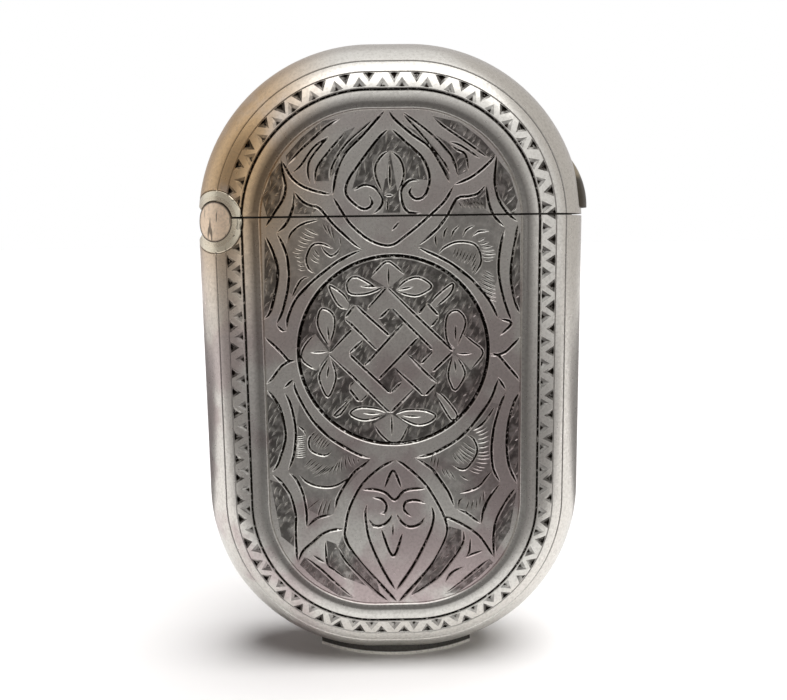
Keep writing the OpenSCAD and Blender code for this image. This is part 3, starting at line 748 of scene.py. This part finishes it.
soft = {"interpolation_type": "SMOOTHSTEP"}
clean_silver = "#d8d5cf"
mauve_bloom = "#b8a9a8"
warm_bloom = "#c2a37c"
pit_grey = "#6a635b"
pale_silver = "#d9d0bc"
# the one dark colour for dirt in the cuts and for painted shade, laid where a piece's callback says
grime_and_shade = "#1d1814"
bloom_size = 6.0 * MM
# the pits of handled silver are finer than the picture shows, so they are drawn about three times as coarse
pit_size = 0.22 * MM
pit_depth = 0.02 * MM
patch_size = 0.7 * MM
warm_x = (-3 * MM, -11 * MM)
warm_z = (24 * MM, 42 * MM)
mauve_z = (44 * MM, 6 * MM)
# the colour sockets of a mix share their names with others, so they go by number
mix_share, mix_under, mix_over, mixed = 0, 6, 7, 2


def worn_metal(name, clean, roughness, soil_and_shade=None, tarnish=1.0):
    """Old metal. The callback given adds the nodes that say where dirt and painted shade lie, and tarnish is
    how much bloom there is.
    """
    material = bpy.data.materials.new(name)
    material.use_nodes = True
    tree = material.node_tree
    shader = tree.nodes["Principled BSDF"]
    place = add(tree, "TexCoord", out="Object")
    axes = add(tree, "SeparateXYZ", {0: place}).node.outputs
    bloom = add(tree, "TexNoise", {"Vector": place, "Scale": 1 / bloom_size, "Detail": 4.0})
    pits = add(tree, "TexNoise", {"Vector": place, "Scale": 1 / pit_size, "Detail": 2.0}, name="pits")
    hinge_side = add(tree, "MapRange", {
        "Value": axes["X"], "From Min": warm_x[0], "From Max": warm_x[1]}, **soft)
    upper = add(tree, "MapRange", {
        "Value": axes["Z"], "From Min": warm_z[0], "From Max": warm_z[1], "To Max": tarnish}, **soft)
    cloudy = add(tree, "MapRange", {"Value": bloom, "From Min": 0.3, "From Max": 0.5}, **soft)
    warm = add(tree, "Math", {0: hinge_side, 1: upper}, operation="MULTIPLY")
    warm = add(tree, "Math", {0: warm, 1: cloudy}, operation="MULTIPLY")
    lower = add(tree, "MapRange", {
        "Value": axes["Z"], "From Min": mauve_z[0], "From Max": mauve_z[1],
        "To Min": 0.35 * tarnish, "To Max": tarnish})
    clear = add(tree, "MapRange", {"Value": bloom, "From Min": 0.56, "From Max": 0.42}, **soft)
    panel = add(tree, "Attribute", out="Fac", attribute_name="panel")
    handled = add(tree, "Math", {0: panel, 1: hinge_side}, operation="MAXIMUM")
    mauve = add(tree, "Math", {0: lower, 1: clear}, operation="MULTIPLY")
    mauve = add(tree, "Math", {0: mauve, 1: handled}, operation="MULTIPLY")
    pitted = add(tree, "MapRange", {
        "Value": pits, "From Min": 0.4, "From Max": 0.72, "To Max": 0.2}, **soft)
    polished = add(tree, "Attribute", out="Fac", attribute_name="polished")
    layers = [(mauve, mauve_bloom), (warm, warm_bloom), (pitted, pit_grey), (polished, pale_silver)]
    # dirt and painted shade, where the piece's callback lays them
    if soil_and_shade:
        layers.append((soil_and_shade(tree, place), grime_and_shade))
    colour = linear(clean)
    for share, over in layers:
        colour = add(tree, "Mix", {
            mix_share: share, mix_under: colour, mix_over: linear(over)}, out=mixed, data_type="RGBA")
    tree.links.new(colour, shader.inputs["Base Color"])
    shader.inputs["Metallic"].default_value = 1.0
    blur = add(tree, "MapRange", {
        "Value": pits, "To Min": roughness - 0.05, "To Max": roughness + 0.12})
    tree.links.new(blur, shader.inputs["Roughness"])
    uneven = add(tree, "Bump", {"Height": pits, "Strength": 0.13, "Distance": pit_depth})
    tree.links.new(uneven, shader.inputs["Normal"])
    return material


def soil_and_shade_in_cuts(tree, place):
    """Dirt in every cut, patchy on the matted ground and in the teeth, and soft painted shade on the band
    into the sunk panel.
    """
    cut = add(tree, "Attribute", out="Fac", attribute_name="cut")
    matted = add(tree, "Attribute", out="Fac", attribute_name="matted")
    # the soft painted shade on the band where the face falls into the sunk panel
    hollow_shade = add(tree, "Attribute", out="Fac", attribute_name="hollow_shade")
    patches = add(tree, "TexNoise", {"Vector": place, "Scale": 1 / patch_size, "Detail": 3.0})
    patchy = add(tree, "MapRange", {
        "Value": patches, "From Min": 0.3, "From Max": 0.6, "To Min": 0.45}, **soft)
    rubbed = add(tree, "MapRange", {
        "Value": tree.nodes["pits"].outputs[0], "From Min": 0.26, "From Max": 0.46}, **soft)
    filled = add(tree, "MapRange", {"Value": cut, "From Min": 0.2, "From Max": 0.6}, **soft)
    filled = add(tree, "Math", {0: filled, 1: rubbed}, operation="MULTIPLY")
    matted = add(tree, "Math", {0: matted, 1: patchy}, operation="MULTIPLY")
    most = add(tree, "Math", {0: filled, 1: matted}, operation="MAXIMUM")
    return add(tree, "Math", {0: most, 1: hollow_shade}, operation="MAXIMUM")


worn_silver = worn_metal("worn sterling", clean_silver, 0.27, soil_and_shade_in_cuts)


# The four stamped halves
# Each is sheet silver pressed to the rolled tablet, engraved once body and lid were fitted together, and
# soldered to its fellow along the middle of the edge. A round notch beside the mouth takes the hinge, in a
# polished bed with a thin line round it.
hinge_x = -13.6
hinge_q = 36.65 - middle_z
notch_r = 1.95
notch_side = 37.5
notch_points = 60
mouth_q = body_high[2] / MM - middle_z
lid_q = lid_low[2] / MM - middle_z
mouth_points = 46
wedge_reach = 1.2
wedge_points = 400
outline_points = 720
outline_gap = 0.1
bed_r = 2.42
bed_width = 0.17
bed_inside = 0.05
bed_polish = 0.06
bed_clear = (bed_r - 0.15, bed_r - 0.1)
bed_turn = np.radians(np.linspace(-160, 160, 120))
bed = np.array((hinge_x, hinge_q)) + bed_r * np.column_stack((np.cos(bed_turn), np.sin(bed_turn)))
bed = flatten(bed[from_flat_edge(bed)[0] < edge_r - bed_inside])
for face in (front, back):
    face.cut(bed, bed_width)


def half_outline(from_q, upwards):
    """The flattened edge of one half: along the mouth, round the hinge notch, and out to the silhouette."""
    away = 1 if upwards else -1
    over_edge = flat_r + edge_r * np.sin(np.radians(np.linspace(90, 0, mouth_points)))
    corner_q = max(from_q - straight_q, 0.0)
    mouth_x = straight_x + np.sqrt(over_edge**2 - corner_q**2)
    mouth = np.column_stack((mouth_x, np.full(mouth_points, from_q)))
    first = math.asin((from_q - hinge_q) / notch_r)
    last = away * math.radians(180 - notch_side)
    sweep = np.linspace(first, last, notch_points)
    notch = np.column_stack((hinge_x + notch_r * np.cos(sweep), hinge_q + notch_r * np.sin(sweep)))
    far = np.array((math.cos(last), math.sin(last)))
    wedge = notch[-1] + far * np.linspace(0.0, wedge_reach, wedge_points)[1:, None]
    wedge = wedge[from_flat_edge(wedge)[0] < edge_r]
    flat = flatten(np.vstack((mouth, notch, wedge)))
    ring = edge_ring(rolled, outline_points, edge_r / 2)
    start = int(np.argmin(np.linalg.norm(ring - flat[-1], axis=1)))
    stop = int(np.argmin(np.linalg.norm(ring - flat[0], axis=1)))
    count = (stop - start) * away % outline_points
    path = ring[(start + away * np.arange(1, count)) % outline_points]
    clear = np.linalg.norm(path - flat[-1], axis=1) > outline_gap
    clear &= np.linalg.norm(path - flat[0], axis=1) > outline_gap
    return np.vstack((flat, path[clear]))


triangles_inside = 1
merge_gap = 1e-4


def triangulate(outline, places, edges):
    """Triangles inside outline that keep every listed point and edge."""
    count = len(outline)
    rim = [(i, (i + 1) % count) for i in range(count)]
    lines = rim + [(a + count, b + count) for a, b in edges]
    points = [Vector(p) for p in np.vstack((outline, places))]
    verts, _, faces, *_ = delaunay_2d_cdt(
        points, lines, [list(range(count))], triangles_inside, merge_gap, False)
    verts = np.array([v[:] for v in verts])
    faces = np.array(faces)
    faces = faces[inside(verts[faces].mean(axis=1), outline)]
    used, faces = np.unique(faces, return_inverse=True)
    return verts[used], faces.reshape(-1, 3)


def rim_loop(faces):
    """The edge of a patch of triangles, in order."""
    ways = dict.fromkeys(way for a, b, c in faces.tolist() for way in ((a, b), (b, c), (c, a)))
    after = {start: stop for start, stop in ways if (stop, start) not in ways}
    first = next(iter(after))
    loop = [first]
    while after[loop[-1]] != first:
        loop.append(after[loop[-1]])
    return loop


rolled_step = 0.35
rolled_end = rolled - 0.1
rolled_points = 250
sloped_rows = 6
sloped_points = 220
rolled_rings = [
    edge_ring(row, rolled_points, edge_r / 2) for row in np.arange(rolled_step, rolled_end, rolled_step)]
sloped_rings = [
    edge_ring(-row, sloped_points, 0.0) for row in np.linspace(0.0, panel_inset, sloped_rows)]
between_cuts = np.vstack(rolled_rings + sloped_rings)
full_cut = 0.12
deepest_ground = 0.09
scraped_depth = (0.002, 0.075)
scraped_share = 0.5
outer_row_slopes = (0.245, 0.5)
inner_row_slopes = (0.0, 0.245)
in_tooth = 0.004
ground_soil = 0.78
outer_row_soil = 0.88
inner_row_soil = 0.6
# painted shade on the band between the deep line and the panel's rim: how dark it is, and where it rises and
# fades by reach into the face
hollow_shade_amount = 0.48
hollow_shade_rows = (-0.3, 0.15, panel_inset - 0.11, panel_inset - 0.06)
panel_rows = (panel_inset - 0.1, panel_inset)
uncut_depth = 1e-4


def shade(mesh, engraving, shapes, flat, faces, deep, from_hinge):
    """Where the dirt, the painted shade by the sunk panel and the polish lie on the outer face, by point, and
    the matting by triangle.
    """
    reach = -from_flat_edge(flat)[0]
    scraped = (on_ground(flat, shapes) > fully_matted) & (deep > scraped_depth[0]) & (deep < scraped_depth[1])
    at_rim = np.abs(reach - panel_inset) < full_cut
    by_point = {
        "cut": np.where(at_rim | scraped, 0.0, deep / full_cut),
        # painted shade along the band into the sunk panel
        "hollow_shade": np.interp(reach, hollow_shade_rows, (0.0, hollow_shade_amount, hollow_shade_amount, 0.0)),
        "polished": np.interp(from_hinge, (bed_r - bed_polish, bed_r), (1.0, 0.0)),
        "panel": np.interp(reach, panel_rows, (0.0, 1.0)),
    }
    middles = flat[faces].mean(axis=1)
    ground = on_ground(middles, shapes) * (deep[faces].max(axis=1) < deepest_ground)
    ground *= np.where(scraped[faces].any(axis=1), scraped_share, 1.0)
    outer_row = engraving.depth(middles, outer_row_slopes) > in_tooth
    inner_row = engraving.depth(middles, inner_row_slopes) > in_tooth
    teeth = np.maximum(outer_row * outer_row_soil, inner_row * inner_row_soil)
    spreads = [(name, "POINT", values, len(mesh.vertices)) for name, values in by_point.items()]
    spreads.append(("matted", "FACE", np.maximum(ground * ground_soil, teeth), len(mesh.polygons)))
    for name, domain, values, count in spreads:
        spread = np.zeros(count, dtype=np.float32)
        spread[:len(values)] = values
        mesh.attributes.new(name, "FLOAT", domain).data.foreach_set("value", spread)


def stamped_half(name, engraving, shapes, from_q, upwards, facing):
    """One engraved half: outer face, plain inner face and the rim between. facing is 1 for the front."""
    places = np.vstack((engraving.places, between_cuts))
    flat, faces = triangulate(half_outline(from_q, upwards), places, engraving.edges)
    outer, normals = surface(flat)
    from_hinge = np.hypot(outer[:, 0] - hinge_x, outer[:, 2] - hinge_q)
    deep = engraving.depth(flat) * np.interp(from_hinge, bed_clear, (0.0, 1.0))
    outer = outer - normals * deep[:, None]
    loop = rim_loop(faces)
    lining, lining_faces = triangulate(flat[loop], between_cuts, [])
    inner, _ = surface(lining, inner=True)
    shift = len(flat)
    match = [int(np.argmin(np.linalg.norm(lining - flat[i], axis=1))) + shift for i in loop]
    every = [tuple(f) for f in faces.tolist()]
    every += [(a + shift, c + shift, b + shift) for a, b, c in lining_faces.tolist()]
    for k in range(len(loop)):
        ahead = (k + 1) % len(loop)
        side = (loop[ahead], loop[k], match[k])
        every.append(side if match[ahead] == match[k] else (*side, match[ahead]))
    points = np.vstack((outer, inner))
    if facing < 0:
        points = points * (1, -1, 1)
        normals = normals * (1, -1, 1)
        every = [tuple(reversed(f)) for f in every]
    mesh = bpy.data.meshes.new(name)
    mesh.from_pydata(((points + (0, 0, middle_z)) * MM).tolist(), [], every)
    mesh.update()
    shade(mesh, engraving, shapes, flat, faces, deep, from_hinge)
    # what no cut touches is smooth, and each side of a cut is flat and crisp
    corner_normals = np.zeros((len(mesh.loops), 3))
    uncut = deep[faces].max(axis=1) < uncut_depth
    for polygon in mesh.polygons:
        smooth = polygon.index < len(faces) and uncut[polygon.index]
        for i in polygon.loop_indices:
            corner_normals[i] = normals[mesh.loops[i].vertex_index] if smooth else polygon.normal
    mesh.normals_split_custom_set(corner_normals.tolist())
    mesh.materials.append(worn_silver)
    piece = bpy.data.objects.new(name, mesh)
    bpy.context.scene.collection.objects.link(piece)
    return piece


halves = [
    ("engraved_body_front", front, front_grounds, mouth_q, False, 1, "body", "body_front_shell"),
    ("engraved_body_back", back, back_grounds, mouth_q, False, -1, "body", "body_back_shell"),
    ("engraved_lid_front", front, front_grounds, lid_q, True, 1, "lid", "lid_front_shell"),
    ("engraved_lid_back", back, back_grounds, lid_q, True, -1, "lid", "lid_back_shell"),
]
for name, engraving, shapes, from_q, upwards, facing, body, node in halves:
    half = stamped_half(name, engraving, shapes, from_q, upwards, facing)
    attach(half, body)
    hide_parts(node)


# The hinge and the bezel
# Drawn tubes with a wire through them, filed flush with the case in front and behind, lie between two half
# tubes of bright silver. The bezel is a plain bright collar inside the mouth. All but the wire is soldered.
hinge_place = (hinge_x * MM, 0.0, (hinge_q + middle_z) * MM)
split_z = (mouth_q + lid_q) / 2 * MM + middle_z * MM
tube_edge = (1.36 * MM, 1.52 * MM)
scratch_size = 0.3 * MM
# how far from the split the collar's painted shade line fades out, and within what distance it is full
split_shade = (0.35 * MM, 0.12 * MM)


def soil_round_tubes(tree, place):
    """Grime round the filed ends of the tubes, and in the scratches across them."""
    off = add(tree, "VectorMath", {0: place, 1: hinge_place}, operation="SUBTRACT")
    off = add(tree, "VectorMath", {0: off, 1: (1.0, 0.0, 1.0)}, operation="MULTIPLY")
    radius = add(tree, "VectorMath", {0: off}, out="Value", operation="LENGTH")
    edge = add(tree, "MapRange", {
        "Value": radius, "From Min": tube_edge[0], "From Max": tube_edge[1], "To Max": 0.92}, **soft)
    facing = add(tree, "NewGeometry", out="Normal")
    facing = add(tree, "SeparateXYZ", {0: facing}, out="Y")
    facing = add(tree, "Math", {0: facing}, operation="ABSOLUTE")
    facing = add(tree, "MapRange", {"Value": facing, "From Min": 0.12, "From Max": 0.3}, **soft)
    edge = add(tree, "Math", {0: edge, 1: facing}, operation="MULTIPLY")
    along = add(tree, "Mapping", {
        "Vector": place, "Rotation": (0.0, 0.35, 0.0), "Scale": (1.0, 1.0, 0.2)})
    scratches = add(tree, "TexNoise", {"Vector": along, "Scale": 1 / scratch_size, "Detail": 1.0})
    scratches = add(tree, "MapRange", {
        "Value": scratches, "From Min": 0.6, "From Max": 0.68, "To Max": 0.75}, **soft)
    return add(tree, "Math", {0: edge, 1: scratches}, operation="MAXIMUM")


def shade_at_split(tree, place):
    """Painted shade: a dark line round the collar, in the gap where lid and body meet."""
    height = add(tree, "SeparateXYZ", {0: place}, out="Z")
    away = add(tree, "Math", {0: height, 1: split_z}, operation="SUBTRACT")
    away = add(tree, "Math", {0: away}, operation="ABSOLUTE")
    return add(tree, "MapRange", {
        "Value": away, "From Min": split_shade[0], "From Max": split_shade[1], "To Max": 0.96}, **soft)


def dress(finish, *nodes):
    """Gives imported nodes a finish."""
    for node in nodes:
        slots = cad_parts[node].data.materials
        slots.clear()
        slots.append(finish)


# the collar is the least handled, so it is pale and bright but for a line of painted shade at the split
dress(worn_metal("collar sterling with painted shade", "#e2e0da", 0.2, shade_at_split, tarnish=0.3), "mouth_bezel")
# the half tubes are rubbed by the thumb, so they keep a creamy polish with little bloom
bright_silver = worn_metal("polished sterling", pale_silver, 0.22, tarnish=0.15)
dress(bright_silver, "body_hinge_bearer", "lid_hinge_bearer")
# the filed tube ends are dull and pinkish from the solder, with dark scratches and a dark edge
filed_silver = worn_metal("tarnished sterling", "#f2dcc4", 0.42, soil_round_tubes, tarnish=0.1)
dress(filed_silver, "body_knuckle_front", "body_knuckle_middle", "body_knuckle_rear")
dress(filed_silver, "lid_knuckle_front", "lid_knuckle_rear", "hinge_plug_front", "hinge_plug_rear")
# the wire is cold grey steel, satin from the drawplate
dress(worn_metal("drawn steel wire", "#b9bcbf", 0.35), "hinge_pin")


# The thumb piece and the striker
# A cast half moon on the lid's edge, dark with dirt from handling and with painted shade but for its top and
# rim, which are left bright as a painted highlight, and a ridged plate under the base, with painted shade on
# its sides in the angle under the case and a painted highlight along its foot. Both are soldered on.
lip_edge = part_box("thumb_piece")[1][0]
# where the lip's dirt and painted shade fade out toward its outer edge and its top, which are left bright as
# a painted highlight
lip_shade_x = (lip_edge - 0.05 * MM, lip_edge - 0.2 * MM)
lip_shade_z = (40.2 * MM, 39.6 * MM)
# the striker's painted shade fades out just above its foot, which stays bright as a painted highlight
foot_shade_z = (0.2 * MM, 0.3 * MM)


def dirt_and_shade_under_lip(tree, place):
    """Dirt and painted shade on the lip below its top, where it meets the lid; its top and outer edge are
    left bright as a painted highlight.
    """
    axes = add(tree, "SeparateXYZ", {0: place}).node.outputs
    below = add(tree, "MapRange", {
        "Value": axes["Z"], "From Min": lip_shade_z[0], "From Max": lip_shade_z[1], "To Max": 0.85}, **soft)
    fitted = add(tree, "MapRange", {
        "Value": axes["X"], "From Min": lip_shade_x[0], "From Max": lip_shade_x[1]}, **soft)
    return add(tree, "Math", {0: below, 1: fitted}, operation="MULTIPLY")


def shade_above_foot(tree, place):
    """Painted shade on the sides of the striker in the angle under the case, none on its foot, which is left
    bright as a painted highlight.
    """
    height = add(tree, "SeparateXYZ", {0: place}, out="Z")
    return add(tree, "MapRange", {
        "Value": height, "From Min": foot_shade_z[0], "From Max": foot_shade_z[1], "To Max": 0.9}, **soft)


# the lip is brown, with dirt and painted shade below a painted highlight along its top and outer edge, and
# the striker is pale and roughened by use, with painted shade on its sides above a painted highlight along
# its foot
dress(worn_metal("handled sterling with painted shade", "#a79c86", 0.33, dirt_and_shade_under_lip), "thumb_piece")
dress(worn_metal("struck sterling with painted shade", "#f0eee8", 0.6, shade_above_foot), "striker_plate")


# The table and the light
# A white paper sheet runs out of sight in a white room. Soft light falls from above, a little from the right
# and in front. Grey and pale cards all round, which only the metal sees, are what the faces mirror.
white = bpy.data.materials.new("white paper")
white.use_nodes = True
paper = white.node_tree.nodes["Principled BSDF"]
paper.inputs["Base Color"].default_value = linear("#f4f2f1")
paper.inputs["Roughness"].default_value = 0.9
paper.inputs["Specular IOR Level"].default_value = 0.1
bpy.ops.mesh.primitive_plane_add(size=6.0, location=(0, 0, 0))
floor = bpy.context.object
floor.name = "floor"
floor.data.materials.append(white)

# the room is white to the camera and in the metal, and adds little light of its own
world = bpy.data.worlds.new("room")
bpy.context.scene.world = world
world.use_nodes = True
room = world.node_tree
rays = add(room, "LightPath").node.outputs
sent_on = add(room, "Math", {
    0: rays["Is Glossy Ray"], 1: rays["Is Transmission Ray"]}, operation="MAXIMUM")
seen = add(room, "Math", {0: rays["Is Camera Ray"], 1: sent_on}, operation="MAXIMUM")
strength = add(room, "MapRange", {"Value": seen, "To Min": 0.04, "To Max": 1.0})
room.nodes["Background"].inputs["Color"].default_value = (1.0, 1.0, 1.0, 1.0)
room.links.new(strength, room.nodes["Background"].inputs["Strength"])


def card(name, size, place, aim, colour, strength=1.0):
    """A flat card that only the metal mirrors."""
    material = bpy.data.materials.new(name)
    material.use_nodes = True
    tree = material.node_tree
    tree.nodes.remove(tree.nodes["Principled BSDF"])
    glow = add(tree, "Emission", {"Color": linear(colour), "Strength": strength})
    tree.links.new(glow, tree.nodes["Material Output"].inputs["Surface"])
    bpy.ops.mesh.primitive_plane_add(size=1.0)
    piece = bpy.context.object
    piece.name = name
    piece.scale = (*size, 1.0)
    piece.location = place
    piece.rotation_euler = (Vector(aim) - Vector(place)).to_track_quat("Z", "Y").to_euler()
    piece.data.materials.append(material)
    piece.visible_camera = False
    piece.visible_shadow = False
    piece.visible_diffuse = False


at_case = (0.0, 0.0, 0.03)
at_top = (0.0, 0.0, 0.05)
on_table = (
    ("grey_low", (0.4, 0.3), 0.173, 0.0008, "#838080", 1.0),
    ("pale_low", (0.022, 0.024), 0.035, 0.0012, "#ffffff", 0.5),
    ("pale_foot", (0.06, 0.013), 0.0145, 0.0012, "#ffffff", 1.1),
)
for side, end in ((-1, "front"), (1, "back")):
    card(f"grey_{end}", (0.085, 0.09), (0.005, 0.1 * side, 0.033), at_case, "#8c8988")
    for name, size, away, height, colour, strength in on_table:
        overhead = (0.0, away * side, 1.0)
        card(f"{name}_{end}", size, (0.0, away * side, height), overhead, colour, strength)
card("dark_at_left", (0.12, 0.16), (-0.13, -0.06, 0.05), at_case, "#a8a4a1")
card("bright_above", (0.22, 0.13), (0.02, -0.09, 0.2), (0.0, 0.0, 0.045), "#ffffff", 2.2)
card("bright_at_right", (0.08, 0.14), (0.15, -0.1, 0.05), at_case, "#ffffff", 0.85)
card("grey_at_right", (0.24, 0.3), (0.16, 0.04, 0.14), at_top, "#cdc9c5")
card("pale_far_back", (0.6, 0.3), (0.0, 0.2, 0.15), at_top, "#cfcccb")

daylight = bpy.data.lights.new("window", "SUN")
daylight.energy = 4.4
daylight.angle = math.radians(60)
window = bpy.data.objects.new("window", daylight)
window.visible_glossy = False
window.rotation_euler = Vector((-0.22, 0.08, -0.97)).to_track_quat("-Z", "Y").to_euler()
bpy.context.scene.collection.objects.link(window)


# The camera
# It stands close in front of the case and a little above its middle, looking slightly down.
camera = bpy.data.objects.new("camera", bpy.data.cameras.new("camera"))
camera_place = (-0.563 * MM, -66.0 * MM, 35.353 * MM)
pitch = math.radians(8.086)
yaw = math.radians(0.584)
roll = math.radians(-0.748)
forward = Vector((math.sin(yaw) * math.cos(pitch), math.cos(yaw) * math.cos(pitch), -math.sin(pitch)))
right = Vector((math.cos(yaw), -math.sin(yaw), 0.0))
upward = right.cross(forward)
right, upward = (
    right * math.cos(roll) + upward * math.sin(roll),
    upward * math.cos(roll) - right * math.sin(roll),
)
turned = Matrix((right, upward, -forward)).transposed().to_4x4()
camera.matrix_world = Matrix.Translation(camera_place) @ turned
camera.data.sensor_width = 36.0
camera.data.lens = 36.47
camera.data.clip_start = 0.001
bpy.context.scene.collection.objects.link(camera)
bpy.context.scene.camera = camera
bpy.context.scene.view_settings.view_transform = "Standard"
